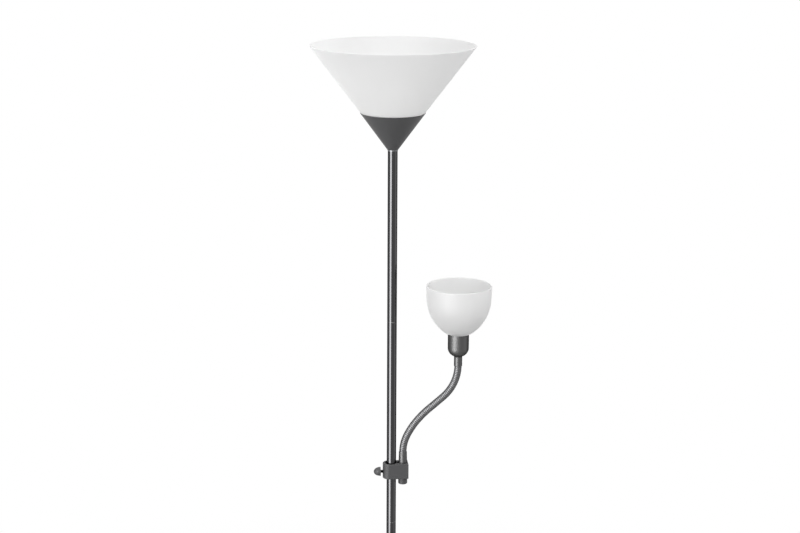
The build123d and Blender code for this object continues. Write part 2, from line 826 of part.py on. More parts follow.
small_core_foot = small_foot + small_holder_wall + seat_gap
small_bulb_foot = holder_inside("reading_holder", head_x, small_bore - seat_gap, small_core_foot,
                                small_core_disc, small_mouth, small_cap_radius)
bulb("reading_bulb", head_x, small_bulb_foot, small_cap_radius, small_cap_length,
     small_globe_radius, small_bulb_length)

small_ring_foot = socket_top + reading_wall
with BuildPart() as reading_ring:
    add(tube(small_ring_radius, small_holder_radius + thread_fit, small_ring_foot, small_ring_height,
             head_x))
    chamfer(edges_at(reading_ring, small_ring_foot + small_ring_height, small_ring_radius, head_x), 1)
save(reading_ring, "reading_ring")

curve_height = socket_top + reading_shoulder_height
curve_centre = reading_shoulder_radius - reading_curve


def curve_point(radius, height):
    """Point of the arc of that radius, at a height, on the reading shade's half outline."""
    return curve_centre + sqrt(radius ** 2 - (curve_height - height) ** 2), height


def curve_middle(radius, low):
    """Point half way round the arc from the shoulder down to a height."""
    angle = asin((curve_height - low) / radius) / 2
    return curve_centre + radius * cos(angle), curve_height - radius * sin(angle)


reading_top = socket_top + reading_height
inner_curve = reading_curve - reading_wall
inside_floor = socket_top + reading_wall
hole = small_holder_radius + seat_gap
with BuildPart() as reading_shade:
    with BuildSketch(half_plane(head_x)):
        with BuildLine():
            foot_out = curve_point(reading_curve, socket_top)
            foot_in = curve_point(inner_curve, inside_floor)
            Line((hole, socket_top), foot_out)
            ThreePointArc(foot_out, curve_middle(reading_curve, socket_top),
                          (reading_shoulder_radius, curve_height))
            Polyline((reading_shoulder_radius, curve_height),
                     (reading_rim_radius, reading_top),
                     (reading_rim_radius - reading_wall, reading_top),
                     (reading_shoulder_radius - reading_wall, curve_height))
            ThreePointArc((reading_shoulder_radius - reading_wall, curve_height),
                          curve_middle(inner_curve, inside_floor), foot_in)
            Polyline(foot_in, (hole, inside_floor), (hole, socket_top))
        make_face()
    revolve(axis=upright(head_x))
    rim = edges_at(reading_shade, reading_top, reading_rim_radius, head_x)
    rim += edges_at(reading_shade, reading_top, reading_rim_radius - reading_wall, head_x)
    fillet(rim, reading_wall / 3)
    fillet(edges_at(reading_shade, socket_top, foot_out[0], head_x), reading_wall)
save(reading_shade, "reading_shade")

lead_stretch("neck_lead_tip", pivots[-1], neck_length + small_foot - head_foot, True, False)

if __name__ == "__main__":
    print("total height", round(shade_top, 2))
    print("reading head at x", round(head_x, 2), "foot", round(head_foot, 2), "rim", round(reading_top, 2))
    print("lead bend radius", supply_lead_bend)
    for number, distance in enumerate(pivots):
        here = neck_plane(distance)
        print("pivot", number, [round(v, 3) for v in here.origin], [round(v, 5) for v in here.z_dir])
    print("thumb screw metres per radian", screw_pitch / 2000 / pi)
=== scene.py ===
# %% [markdown]
# # An uplighter floor lamp with a bendable reading light
#
# The lamp stands 1.78 m tall. A weighted round base carries a slim pole of screwed sections. A
# white cone at the top throws its light at the ceiling, and a small white bowl on a bendable neck
# lights a book. The construction comes in as a frame of finished solids, each at its real place
# and size. This lesson gives it what a frame lacks: fine turned, threaded and wound surfaces where
# the light shows them, and a finish for every piece.

# %% Load the frame
import json
import math

import bmesh
import bpy
import numpy as np
from mathutils import Matrix, Vector


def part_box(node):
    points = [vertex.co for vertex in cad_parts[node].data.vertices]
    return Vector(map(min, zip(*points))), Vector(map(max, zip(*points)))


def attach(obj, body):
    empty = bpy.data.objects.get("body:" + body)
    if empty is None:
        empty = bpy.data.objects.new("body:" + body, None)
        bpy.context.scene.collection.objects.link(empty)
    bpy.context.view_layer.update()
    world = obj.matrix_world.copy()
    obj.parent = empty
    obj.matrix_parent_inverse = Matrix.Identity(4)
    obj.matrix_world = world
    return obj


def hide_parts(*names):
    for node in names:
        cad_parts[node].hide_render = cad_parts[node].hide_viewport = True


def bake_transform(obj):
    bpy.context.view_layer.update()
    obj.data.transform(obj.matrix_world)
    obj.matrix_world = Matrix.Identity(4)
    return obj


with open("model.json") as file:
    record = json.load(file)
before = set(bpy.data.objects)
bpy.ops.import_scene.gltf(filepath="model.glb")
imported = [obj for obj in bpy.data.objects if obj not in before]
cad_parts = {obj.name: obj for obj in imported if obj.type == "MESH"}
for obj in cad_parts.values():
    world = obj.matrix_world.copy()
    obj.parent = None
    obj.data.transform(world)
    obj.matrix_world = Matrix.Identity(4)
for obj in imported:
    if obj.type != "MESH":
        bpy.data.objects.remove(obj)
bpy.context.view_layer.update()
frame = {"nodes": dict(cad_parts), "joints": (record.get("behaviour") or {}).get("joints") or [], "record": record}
nodes = frame["nodes"]

# %% [markdown]
# ## Surfaces from arrays
#
# Nearly everything on a lamp is turned on a lathe, pressed round, or carried along a line: a
# shape that two parameters describe, one along an outline and one round an axis. Such a surface
# can be made with the Spin tool or a Screw modifier, but a grid of points worked out with numpy
# is as short, keeps its sizes exact, and takes a thread or a row of ribs as one more term in the
# formula. The points go into the mesh in one call, each face joining four neighbours.

# %% A grid of points becomes a mesh
MM = 0.001
SHARP = math.radians(38)


def grid_faces(rows, cols, loop):
    """Corner numbers of the faces of a grid closed sideways, and lengthways too if loop."""
    i = np.arange(rows if loop else rows - 1)[:, None]
    j = np.arange(cols)[None, :]
    up, on = (i + 1) % rows, (j + 1) % cols
    return np.stack([i * cols + j, i * cols + on, up * cols + on, up * cols + j], axis=-1).reshape(-1, 4)


def surface(name, points, material, loop=True):
    """A mesh object from points[i, j], closed along j, and along i too where loop is true.

    Points that coincide are merged, which closes a pole, and the faces are turned outwards: the
    volume inside a closed surface is positive when they are.
    """
    rows, cols = points.shape[:2]
    mesh = bpy.data.meshes.new(name)
    mesh.from_pydata(points.reshape(-1, 3), [], grid_faces(rows, cols, loop))
    work = bmesh.new()
    work.from_mesh(mesh)
    bmesh.ops.remove_doubles(work, verts=work.verts, dist=1e-7)
    if work.calc_volume(signed=True) < 0:
        bmesh.ops.reverse_faces(work, faces=work.faces)
    work.to_mesh(mesh)
    work.free()
    mesh.shade_smooth()
    mesh.set_sharp_from_angle(angle=SHARP)
    mesh.materials.append(material)
    made = bpy.data.objects.new(name, mesh)
    bpy.context.scene.collection.objects.link(made)
    print(f"{name}: {len(mesh.polygons)} faces, {rows} x {cols} points")
    return made


# %% An outline with rounded corners
def rounded(corners, steps=6):
    """Outline points of a polygon whose corners (along, across, rounding) are arcs.

    With half the corner's angle h, an arc of radius q touches both sides at q / tan h from the
    corner, and its centre lies q / sin h along the corner's bisector. Between those two points it
    is a slerp. One more point a little way along each side keeps the flat beside it flat.
    """
    corners = np.asarray(corners, float)
    at, q = corners[:, :2], corners[:, 2:]
    back, ahead = np.roll(at, 1, axis=0) - at, np.roll(at, -1, axis=0) - at
    back /= np.linalg.norm(back, axis=1, keepdims=True)
    ahead /= np.linalg.norm(ahead, axis=1, keepdims=True)
    half = np.arccos(np.clip((back * ahead).sum(1, keepdims=True), -1, 1)) / 2
    half = np.clip(half, 1e-3, math.pi / 2 - 1e-4)
    reach = q / np.tan(half)
    bisector = back + ahead
    bisector /= np.maximum(np.linalg.norm(bisector, axis=1, keepdims=True), 1e-12)
    centre = at + bisector * q / np.sin(half)
    first, last = at + back * reach - centre, at + ahead * reach - centre
    swing = (math.pi - 2 * half)[:, :, None]
    t = np.linspace(0, 1, steps + 1)[None, :, None]
    mix = np.sin((1 - t) * swing) * first[:, None] + np.sin(t * swing) * last[:, None]
    arc = centre[:, None] + mix / np.sin(swing)
    before = (at + back * reach * 1.35)[:, None]
    after = (at + ahead * reach * 1.35)[:, None]
    return np.concatenate([before, arc, after], axis=1).reshape(-1, 2)


# %% An outline carried round a line
UP = Vector((0, 0, 1))


def turned(name, outline, material, foot=(0, 0, 0), axis=UP, loop=True, sides=192, swell=None):
    """A solid turned about a line through foot along axis, from outline points (radius, height).

    point(t, a) = foot + height(t) axis + radius(t) (cos a side + sin a across), where side and
    across are square to the axis and to each other. swell(radius, height, a) may change the
    radius, for ribs or a thread.
    """
    axis = Vector(axis).normalized()
    side = axis.orthogonal().normalized() if abs(axis.x) > 0.5 else Vector((1, 0, 0))
    across = np.array(axis.cross(side))
    a = np.linspace(0, 2 * math.pi, sides, endpoint=False)[None, :]
    radius = np.repeat(outline[:, :1], sides, axis=1)
    height = np.repeat(outline[:, 1:], sides, axis=1)
    if swell:
        radius = swell(radius, height, a)
    spread = np.cos(a)[..., None] * np.array(side) + np.sin(a)[..., None] * across
    points = np.array(foot) + height[..., None] * np.array(axis) + radius[..., None] * spread
    return surface(name, points, material, loop)


def place(piece, body, slot, *stands_for):
    """The piece rides on a body and stands for CAD nodes, which are hidden; slot is not used."""
    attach(piece, body)
    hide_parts(*stands_for)


print("helpers ready")

# %% [markdown]
# ## One grain, many finishes
#
# A lacquered tube, a moulded clamp and a satin shade differ in colour and gloss, but all have the
# same three things under a close look: a fine relief, a slow drift of gloss, and a faint drift of
# tone. One node group makes them all from two noises on Object coordinates, in metres, so a
# grain of half a millimetre is the same size on every piece. A stretch on the coordinates turns
# the round grain into drawn lines. Each material sets its own numbers on the group, and keeps its
# own Principled shader, because what is the same all over belongs on the shader's own sockets.


# %% The grain group
def new_node(tree, kind, place_x, place_y=0, **settings):
    """A node of a kind, with its properties set."""
    node = tree.nodes.new(kind)
    node.location = (place_x, place_y)
    for key, value in settings.items():
        setattr(node, key, value)
    return node


def math_node(tree, operation, first, second, x, y=0):
    """A Math node between two sockets or numbers."""
    node = new_node(tree, "ShaderNodeMath", x, y, operation=operation)
    for socket, value in zip(node.inputs, (first, second)):
        if isinstance(value, bpy.types.NodeSocket):
            tree.links.new(value, socket)
        else:
            socket.default_value = value
    return node.outputs[0]


def make_grain():
    """Node group: fine relief as a normal, with drifting colour and roughness."""
    tree = bpy.data.node_groups.new("surface_grain", "ShaderNodeTree")
    face = tree.interface
    for label, kind in (("Colour", "Color"), ("Tone drift", "Float"), ("Roughness", "Float"),
                        ("Gloss drift", "Float"), ("Grain size", "Float"), ("Relief", "Float"),
                        ("Stretch", "Vector")):
        face.new_socket(name=label, in_out="INPUT", socket_type="NodeSocket" + kind)
    for label, kind in (("Colour", "Color"), ("Roughness", "Float"), ("Normal", "Vector"),
                        ("Drift", "Float")):
        face.new_socket(name=label, in_out="OUTPUT", socket_type="NodeSocket" + kind)
    into = new_node(tree, "NodeGroupInput", -1000).outputs
    out = new_node(tree, "NodeGroupOutput", 700).inputs
    coords = new_node(tree, "ShaderNodeTexCoord", -1000, -300)
    stretched = new_node(tree, "ShaderNodeVectorMath", -800, -200, operation="MULTIPLY")
    tree.links.new(coords.outputs["Object"], stretched.inputs[0])
    tree.links.new(into["Stretch"], stretched.inputs[1])
    per_metre = math_node(tree, "DIVIDE", 1.0, into["Grain size"], -800, 100)
    fine = new_node(tree, "ShaderNodeTexNoise", -500, 0)
    fine.inputs["Detail"].default_value = 3
    tree.links.new(stretched.outputs[0], fine.inputs["Vector"])
    tree.links.new(per_metre, fine.inputs["Scale"])
    slow = new_node(tree, "ShaderNodeTexNoise", -500, -300)
    slow.inputs["Scale"].default_value = 28
    slow.inputs["Detail"].default_value = 2
    tree.links.new(coords.outputs["Object"], slow.inputs["Vector"])
    swing = math_node(tree, "MULTIPLY_ADD", slow.outputs[0], 2.0, -250, -300)
    swing.node.inputs[2].default_value = -1.0
    fine_swing = math_node(tree, "MULTIPLY_ADD", fine.outputs[0], 2.0, -250, 150)
    fine_swing.node.inputs[2].default_value = -1.0
    both = math_node(tree, "ADD", swing, fine_swing, -80, -100)
    gloss = math_node(tree, "MULTIPLY_ADD", both, into["Gloss drift"], 80, -200)
    tree.links.new(into["Roughness"], gloss.node.inputs[2])
    tone = math_node(tree, "MULTIPLY_ADD", both, into["Tone drift"], 80, 100)
    tone.node.inputs[2].default_value = 1.0
    tinted = new_node(tree, "ShaderNodeVectorMath", 280, 100, operation="SCALE")
    tree.links.new(into["Colour"], tinted.inputs[0])
    tree.links.new(tone, tinted.inputs["Scale"])
    bump = new_node(tree, "ShaderNodeBump", 280, -350)
    tree.links.new(fine.outputs[0], bump.inputs["Height"])
    tree.links.new(into["Relief"], bump.inputs["Distance"])
    tree.links.new(tinted.outputs[0], out["Colour"])
    tree.links.new(gloss, out["Roughness"])
    tree.links.new(bump.outputs[0], out["Normal"])
    tree.links.new(both, out["Drift"])
    return tree


grain = make_grain()
print("group:", grain.name, [s.name for s in grain.interface.items_tree])


# %% A finish is the grain with its own numbers
def tone_of(level):
    """Linear value of a display level from 0 to 255."""
    share = level / 255
    return share / 12.92 if share <= 0.04045 else ((share + 0.055) / 1.055) ** 2.4


def colour_of(*levels):
    """Linear colour of one grey level, or of three levels."""
    return [tone_of(v) for v in (levels * 3 if len(levels) == 1 else levels)] + [1.0]


finishes = {}


def finish(slot, colour, roughness, size, relief, tone_drift=0.02, gloss_drift=0.03,
           stretch=(1, 1, 1), **sockets):
    """A material for one slot: the grain group into a Principled shader with its constants set.

    size and relief are in millimetres. Other names set the shader's own sockets.
    """
    material = bpy.data.materials.new(slot)
    material.use_nodes = True
    tree = material.node_tree
    shader = tree.nodes["Principled BSDF"]
    group = new_node(tree, "ShaderNodeGroup", -400, 0, node_tree=grain)
    values = {"Colour": colour, "Tone drift": tone_drift, "Roughness": roughness,
              "Gloss drift": gloss_drift, "Grain size": size * MM, "Relief": relief * MM,
              "Stretch": stretch}
    for label, value in values.items():
        group.inputs[label].default_value = value
    tree.links.new(group.outputs["Colour"], shader.inputs["Base Color"])
    tree.links.new(group.outputs["Roughness"], shader.inputs["Roughness"])
    tree.links.new(group.outputs["Normal"], shader.inputs["Normal"])
    for label, value in sockets.items():
        shader.inputs[label.replace("_", " ")].default_value = value
    finishes[slot] = material
    return material


print("finish() ready")

# %% [markdown]
# ## Metal finishes
#
# The pole is a steel tube under a glossy gunmetal lacquer, drawn lengthwise, so its faint lines
# run up and down: the stretch makes the grain sixty times longer than wide. Ferrules and socket
# cup are dark nickel plate, rougher, so a lamp's reflection spreads into a soft stripe. The neck
# has a lighter copy of that plate, painted brighter to stand in for highlight: its ribs break the
# stripe up, and beside the photograph the plate itself looked too dark there. Real dark plating
# stays dark at its edges, where a plain metal turns white; the shader's Specular Tint is the
# colour of that edge, so it is set dark.
# Screws, nuts and nipples inside are zinc.

# %% Metals
finish("pole_paint", colour_of(64, 64, 65), 0.12, 1.2, 0.0001, 0.06, 0.02, (1, 1, 1 / 60),
       Metallic=1.0, Specular_Tint=colour_of(170))
finish("base_paint", colour_of(64, 64, 65), 0.18, 1.0, 0.0004, 0.03, 0.02, Metallic=1.0,
       Specular_Tint=colour_of(170))
finish("dark_plate", colour_of(78, 78, 78), 0.47, 0.6, 0.0002, 0.05, 0.02, Metallic=1.0,
       Specular_Tint=colour_of(100))
# The neck's lighter plate colour is painted brightness, standing in for a stronger highlight.
finish("neck_plate_painted_bright", colour_of(94, 94, 95), 0.48, 0.6, 0.0002, 0.05, 0.03, Metallic=1.0,
       Specular_Tint=colour_of(50))
finish("plated_steel", colour_of(118, 119, 121), 0.42, 0.4, 0.002, 0.05, 0.04, Metallic=1.0)
finish("brass", colour_of(212, 178, 104), 0.28, 0.3, 0.002, 0.05, 0.04, Metallic=1.0)
finish("bulb_cap", colour_of(205, 206, 208), 0.32, 0.3, 0.003, 0.04, 0.05, Metallic=1.0)
finish("black_screw", colour_of(34), 0.38, 0.25, 0.004, 0.08, 0.05, Metallic=1.0,
       Specular_Tint=colour_of(90))
finish("base_iron", colour_of(70, 66, 62), 0.75, 1.6, 0.12, 0.15, 0.08, Metallic=0.4)
print("metals:", len(finishes))

# %% [markdown]
# ## Joint lines on the pole
#
# The pole's sections screw together end to end, and each joint shows as a hair line a little
# lighter than the lacquer: a painted highlight, standing in for the light that the chamfered tube
# ends catch. Every joint lies a whole number of sections above the lowest, so the distance to the
# nearest one is simple arithmetic on Object Z, and the painted line is where that distance is small.


# %% Painted highlight lines where the sections meet
def paint_highlight_lines(material, low, high, step, edge, colour):
    """Paint a lighter colour, a painted highlight, within edge of the heights low, low + step ... up to high.

    The distance to the nearest such height is |((z - low) / step + 0.5) mod 1 - 0.5| * step.
    """
    tree = material.node_tree
    coords = new_node(tree, "ShaderNodeTexCoord", -1700)
    split = new_node(tree, "ShaderNodeSeparateXYZ", -1500)
    tree.links.new(coords.outputs["Object"], split.inputs[0])
    above_low = math_node(tree, "SUBTRACT", split.outputs[2], low, -1350)
    turns = math_node(tree, "DIVIDE", above_low, step, -1200)
    turns = math_node(tree, "FRACT", math_node(tree, "ADD", turns, 0.5, -1050), 0.0, -950)
    away = math_node(tree, "ABSOLUTE", math_node(tree, "SUBTRACT", turns, 0.5, -850), 0.0, -800)
    near = math_node(tree, "LESS_THAN", math_node(tree, "MULTIPLY", away, step, -750), edge, -700)
    below = math_node(tree, "LESS_THAN", split.outputs[2], high, -850, -250)
    shown = math_node(tree, "MULTIPLY", near, below, -650, -100)
    group = next(n for n in tree.nodes if n.type == "GROUP")
    mix = new_node(tree, "ShaderNodeMix", -560, 150, data_type="RGBA")
    colour_sockets = [s for s in mix.inputs if s.type == "RGBA"]
    tree.links.new(shown, mix.inputs["Factor"])
    colour_sockets[0].default_value = group.inputs["Colour"].default_value
    colour_sockets[1].default_value = colour
    tree.links.new(next(s for s in mix.outputs if s.type == "RGBA"), group.inputs["Colour"])


section_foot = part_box("pole_section_1")[0].z
section_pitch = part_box("pole_section_2")[0].z - section_foot
JOINT_HIGHLIGHT_EDGE = 0.4 * MM
PAST_LAST_JOINT = 10 * MM
# Each joint gets a lighter hair line: a painted highlight for the light its chamfered ends catch.
paint_highlight_lines(finishes["pole_paint"], section_foot,
               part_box("pole_section_5")[0].z + PAST_LAST_JOINT, section_pitch,
               JOINT_HIGHLIGHT_EDGE, colour_of(112))
print("sections every", round(section_pitch * 1000, 1), "mm")

# %% [markdown]
# ## Plastic, rubber and felt
#
# Cup, clamp and knob are grey mouldings whose steel moulds were spark-eroded, which leaves a matt
# grain a few tenths of a millimetre across. Its relief is tiny, but it is what keeps a moulding
# from looking like paint. Felt is a mat of fibres with a sheen at grazing angles.

# %% Plastics and felt
finish("cup_grey", colour_of(75, 75, 76), 0.5, 0.6, 0.0006, 0.03, 0.03, Specular_IOR_Level=0.25)
finish("clamp_grey", colour_of(79, 79, 80), 0.52, 0.6, 0.0003, 0.03, 0.03, Specular_IOR_Level=0.2)
finish("knob_grey", colour_of(80, 80, 81), 0.52, 0.6, 0.0004, 0.03, 0.03, Specular_IOR_Level=0.2)
finish("holder_black", colour_of(40), 0.4, 0.4, 0.006, 0.05, 0.04)
finish("holder_white", colour_of(226, 225, 220), 0.25, 0.8, 0.004, 0.02, 0.03, Coat_Weight=0.4)
finish("nylon", colour_of(222, 219, 208), 0.45, 0.4, 0.004, 0.02, 0.03, Subsurface_Weight=0.2,
       Subsurface_Scale=0.002)
finish("black_lead", colour_of(36), 0.5, 0.5, 0.006, 0.05, 0.04)
finish("felt", colour_of(58, 58, 60), 0.95, 0.35, 0.12, 0.25, 0.03, Sheen_Weight=0.5,
       Sheen_Roughness=0.5)
print("finishes:", len(finishes))

# %% [markdown]
# ## White shades and frosted bulbs
#
# Both shades are milky: light that meets one side of the wall comes out on both, so the wall
# glows evenly and the inside is as bright as the outside. Subsurface scattering does that by
# walking the light through the real thickness of the wall. In a nearly white medium the real
# path is much shorter than the number on the socket, so 11 mm there suits a wall of 2 mm. A
# longer path evens out the two sides still more, but its noise shows as mottling. The bulbs are
# opal glass with a glossy skin.

# %% Translucent whites
finish("shade_white", colour_of(249, 249, 249), 0.42, 0.6, 0.003, 0.006, 0.02,
       Subsurface_Weight=1.0, Subsurface_Radius=(1.0, 1.0, 1.0), Subsurface_Scale=0.011,
       Specular_IOR_Level=0.2)
finish("bulb_glass", colour_of(240, 240, 236), 0.3, 0.25, 0.002, 0.008, 0.03,
       Subsurface_Weight=1.0, Subsurface_Radius=(1.0, 1.0, 1.0), Subsurface_Scale=0.004,
       Coat_Weight=0.5)
for part in frame["record"]["subparts"]:
    shown = nodes[part["node"]].data
    shown.materials.clear()
    shown.materials.append(finishes[part["material_slot"]])
print("finishes:", len(finishes), "on", len(nodes), "nodes")

# %% [markdown]
# ## The uplighter's shade and cup
#
# The shade is a cone of one slope, 1.9 mm thick, that rests on the lampholder's seat and is
# clamped there by a ring. Its rim is rounded over, and that round catches a thin line of light all
# the way along. The cup below it is a steeper-looking but nearly parallel cone, open at the top,
# with a thin lip. Both are plain turned outlines, so they are made with 256 sides to stay round
# in a close view.

# %% Shade and cup
shade_low, shade_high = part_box("uplighter_shade")
cup_low, cup_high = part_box("shade_cup")
SHADE_RIM = 125.2 * MM
SHADE_WALL = 1.9 * MM
SHADE_FLOOR = 1.6 * MM
SHADE_AT_CUP = 48.4 * MM
SEAT_HOLE = 19.6 * MM
shade_slope = (SHADE_RIM - SHADE_AT_CUP) / (shade_high.z - cup_high.z)


def shade_radius(height):
    """Outer radius of the cone at a height."""
    return SHADE_RIM - shade_slope * (shade_high.z - height)


shade_floor_top = shade_low.z + SHADE_FLOOR
shade = turned("uplighter_shade_skin", rounded([
    (SEAT_HOLE, shade_low.z, 0),
    (shade_radius(shade_low.z), shade_low.z, 0.8 * MM),
    (SHADE_RIM, shade_high.z, SHADE_WALL * 0.32),
    (SHADE_RIM - SHADE_WALL, shade_high.z, SHADE_WALL * 0.32),
    (shade_radius(shade_floor_top) - SHADE_WALL, shade_floor_top, 1.2 * MM),
    (SEAT_HOLE, shade_floor_top, 0),
]), finishes["shade_white"], sides=256)
place(shade, "stand", "shade_white", "uplighter_shade")

CUP_FOOT = 7.9 * MM
CUP_WALL = 1.0 * MM
CUP_FLOOR = 3.0 * MM
THREAD_HOLE = 5.1 * MM
cup_rim = cup_high.x
cup_slope = (cup_rim - CUP_FOOT) / (cup_high.z - cup_low.z)
cup_floor_top = cup_low.z + CUP_FLOOR
cup = turned("shade_cup_skin", rounded([
    (THREAD_HOLE, cup_low.z, 0),
    (CUP_FOOT, cup_low.z, 0.5 * MM),
    (cup_rim, cup_high.z, 0.25 * MM),
    (cup_rim - CUP_WALL, cup_high.z, 0.2 * MM),
    (CUP_FOOT + cup_slope * CUP_FLOOR - CUP_WALL, cup_floor_top, 1.0 * MM),
    (THREAD_HOLE, cup_floor_top, 0),
]), finishes["cup_grey"], sides=256)
place(cup, "stand", "cup_grey", "shade_cup")

# %% [markdown]
# ## The reading shade
#
# A bowl with one curve from its flat foot to a shoulder, and nearly straight above it. The curve
# is an arc of 68 mm whose centre lies level with the shoulder, so its points are
# r = centre + R cos u, z = shoulder - R sin u. The inside is the same arc less the wall.

# %% Bowl of the reading light
bowl_low, bowl_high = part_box("reading_shade")
HEAD_X = (bowl_low.x + bowl_high.x) / 2
BOWL_RIM = 51.2 * MM
BOWL_SHOULDER = 50.3 * MM
BOWL_SHOULDER_RISE = 56.7 * MM
BOWL_CURVE = 68.0 * MM
BOWL_WALL = 2.2 * MM
HOLDER_HOLE = 13.9 * MM


def bowl_arc(curve, rise, count=28):
    """Points (radius, height, 0) up an arc, from a rise above the foot to the shoulder."""
    u = np.linspace(math.asin((BOWL_SHOULDER_RISE - rise) / curve), 0, count)
    radius = BOWL_SHOULDER - BOWL_CURVE + curve * np.cos(u)
    height = bowl_low.z + BOWL_SHOULDER_RISE - curve * np.sin(u)
    return np.stack([radius, height, np.zeros(count)], axis=1)


outer_arc = bowl_arc(BOWL_CURVE, 0)
inner_arc = bowl_arc(BOWL_CURVE - BOWL_WALL, BOWL_WALL)[::-1]
outer_arc[0, 2] = BOWL_WALL
inner_arc[-1, 2] = BOWL_WALL / 2
bowl_outline = np.concatenate([
    [(HOLDER_HOLE, bowl_low.z, 0)],
    outer_arc,
    [(BOWL_RIM, bowl_high.z, BOWL_WALL * 0.4), (BOWL_RIM - BOWL_WALL, bowl_high.z, BOWL_WALL * 0.4)],
    inner_arc,
    [(HOLDER_HOLE, bowl_low.z + BOWL_WALL, 0)],
])
bowl = turned("reading_shade_skin", rounded(bowl_outline, 4), finishes["shade_white"],
              foot=(HEAD_X, 0, 0), sides=224)
place(bowl, "head", "shade_white", "reading_shade")

# %% [markdown]
# ## The bendable neck
#
# The neck is a close winding of steel: a round wire with a wedge wire pressed between its turns,
# so what shows is a row of low round ribs with a fine groove between them, in one long helix.
# Its centre line is straight inside the ferrules and follows six arcs between them. A helix
# needs no modelling of single turns: the radius depends only on how far along and how far round
# a point lies. It is cut into six stretches, one at each hinge, and every stretch ends where the
# next begins, so the groove runs on across the cut.

# %% Centre line of the neck
NECK_ARC = 28.5 * MM
NECK_TURNS = np.radians([26.0, 13.3, 10.7, -1.5, -24.5, -24.0])
NECK_SEAT = 9.6 * MM
neck_x = (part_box("lower_ferrule")[0].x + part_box("lower_ferrule")[1].x) / 2
neck_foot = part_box("lower_ferrule")[1].z


def neck_line(s):
    """Centre (x, y, z) and heading of the neck at distances s above the lower ferrule's mouth.

    Each arc adds a chord run * sin(t/2) / (t/2) at its own middle heading, where t is the turn made
    on it so far. Before the first arc and after the last the line is straight.
    """
    s = np.asarray(s, float)[..., None]
    run = np.clip(s - NECK_ARC * np.arange(len(NECK_TURNS)), 0, NECK_ARC)
    turn = NECK_TURNS * run / NECK_ARC
    start = np.concatenate([[0], np.cumsum(NECK_TURNS)[:-1]])
    chord = run * np.sinc(turn / 2 / math.pi)
    heading = turn.sum(-1)
    before = np.minimum(s[..., 0], 0)
    after = np.maximum(s[..., 0] - NECK_ARC * len(NECK_TURNS), 0)
    x = neck_x + (chord * np.sin(start + turn / 2)).sum(-1) + after * np.sin(heading)
    z = neck_foot + (chord * np.cos(start + turn / 2)).sum(-1) + before + after * np.cos(heading)
    return np.stack([x, np.zeros_like(x), z], axis=-1), heading


hinges = [j for j in frame["joints"] if j["name"].startswith("neck_bend")]
hinge_points = neck_line((np.arange(len(hinges)) + 0.5) * NECK_ARC)[0]
off = max(np.linalg.norm(p - np.array(j["pos_m"])) for p, j in zip(hinge_points, hinges))
print("hinges", len(hinges), "furthest from the line", round(off * 1000, 4), "mm")


# %% Stretches of neck and of the lead inside it
def along_neck(name, s, radius, material, sides):
    """A closed surface carried along the neck: point(s, a) = line(s) + radius (cos a Y + sin a N).

    Y is the world's Y axis, and N lies in the neck's plane, square to its heading. radius has a
    row for every s and a column for every a.
    """
    centre, heading = neck_line(s)
    normal = np.stack([-np.cos(heading), np.zeros_like(heading), np.sin(heading)], axis=-1)
    a = np.linspace(0, 2 * math.pi, sides, endpoint=False)
    radius = np.broadcast_to(radius, (len(s), sides))[..., None]
    sideways = np.array([0.0, 1.0, 0.0])
    spread = (np.cos(a)[None, :, None] * sideways
              + np.sin(a)[None, :, None] * normal[:, None])
    return surface(name, centre[:, None] + radius * spread, material)


RIB_PITCH = 2.85 * MM
NECK_CREST = 5.75 * MM
GROOVE_DEPTH = 0.62 * MM
NECK_BORE = 3.2 * MM
NECK_SIDES = 96
RIB_STEPS = 16


def winding(s):
    """Outer radius of the winding: crest - depth * |2 f - 1| ** 4, with f the share of a turn.

    f is the fraction of s / pitch + a / 2 pi, so the groove climbs one pitch in each round.
    """
    a = np.linspace(0, 1, NECK_SIDES, endpoint=False)[None, :]
    share = (s[:, None] / RIB_PITCH + a) % 1
    return NECK_CREST - GROOVE_DEPTH * np.abs(2 * share - 1) ** 4


cad_names = ["neck_root", "neck_1", "neck_2", "neck_3", "neck_4", "neck_5", "neck_tip"]
LEAD_RADIUS = 2.5 * MM
lead_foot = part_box("neck_lead_root")[0].z - neck_foot
lead_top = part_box("neck_lead_tip")[1].z - neck_line(NECK_ARC * 6)[0][2] + NECK_ARC * 6


def bend(piece, k, slot):
    """Stretch k, at hinge k: its transform is baked into the mesh and the CAD nodes it stands for are hidden."""
    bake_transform(piece)
    names = cad_names[k:k + 1] if k < len(hinges) - 1 else cad_names[k:]
    if slot == "black_lead":
        names = [n.replace("neck_", "neck_lead_") for n in names]
    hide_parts(*names)


for k in range(len(hinges)):
    low = k * NECK_ARC - (NECK_SEAT if k == 0 else 0)
    high = (k + 1) * NECK_ARC + (NECK_SEAT if k == 5 else 0)
    outside = np.linspace(low, high, round((high - low) / RIB_PITCH * RIB_STEPS) + 1)
    inside = np.linspace(high, low, 17)
    radius = np.concatenate([winding(outside), np.full((len(inside), NECK_SIDES), NECK_BORE)])
    stretch = along_neck(f"neck_winding_{k}", np.concatenate([outside, inside]), radius,
                         finishes["neck_plate_painted_bright"], NECK_SIDES)
    bend(stretch, k, "dark_plate")
    low = lead_foot if k == 0 else low
    high = lead_top if k == 5 else high
    inside = np.linspace(low, high, 25)
    radius = np.full((27, 1), LEAD_RADIUS)
    radius[[0, -1]] = 0
    lead = along_neck(f"reading_lead_{k}", np.concatenate([[low], inside, [high]]), radius,
                      finishes["black_lead"], 32)
    bend(lead, k, "black_lead")

# %% [markdown]
# ## Threads
#
# A thread is the same idea on a straight line: the radius rises and falls with the distance along
# plus the share of a turn. The thumb screw has a sharp metric thread. The screw shells of the
# bulbs and the outside of the lampholders have a round one, like a wave, because they are rolled
# in thin sheet or moulded.


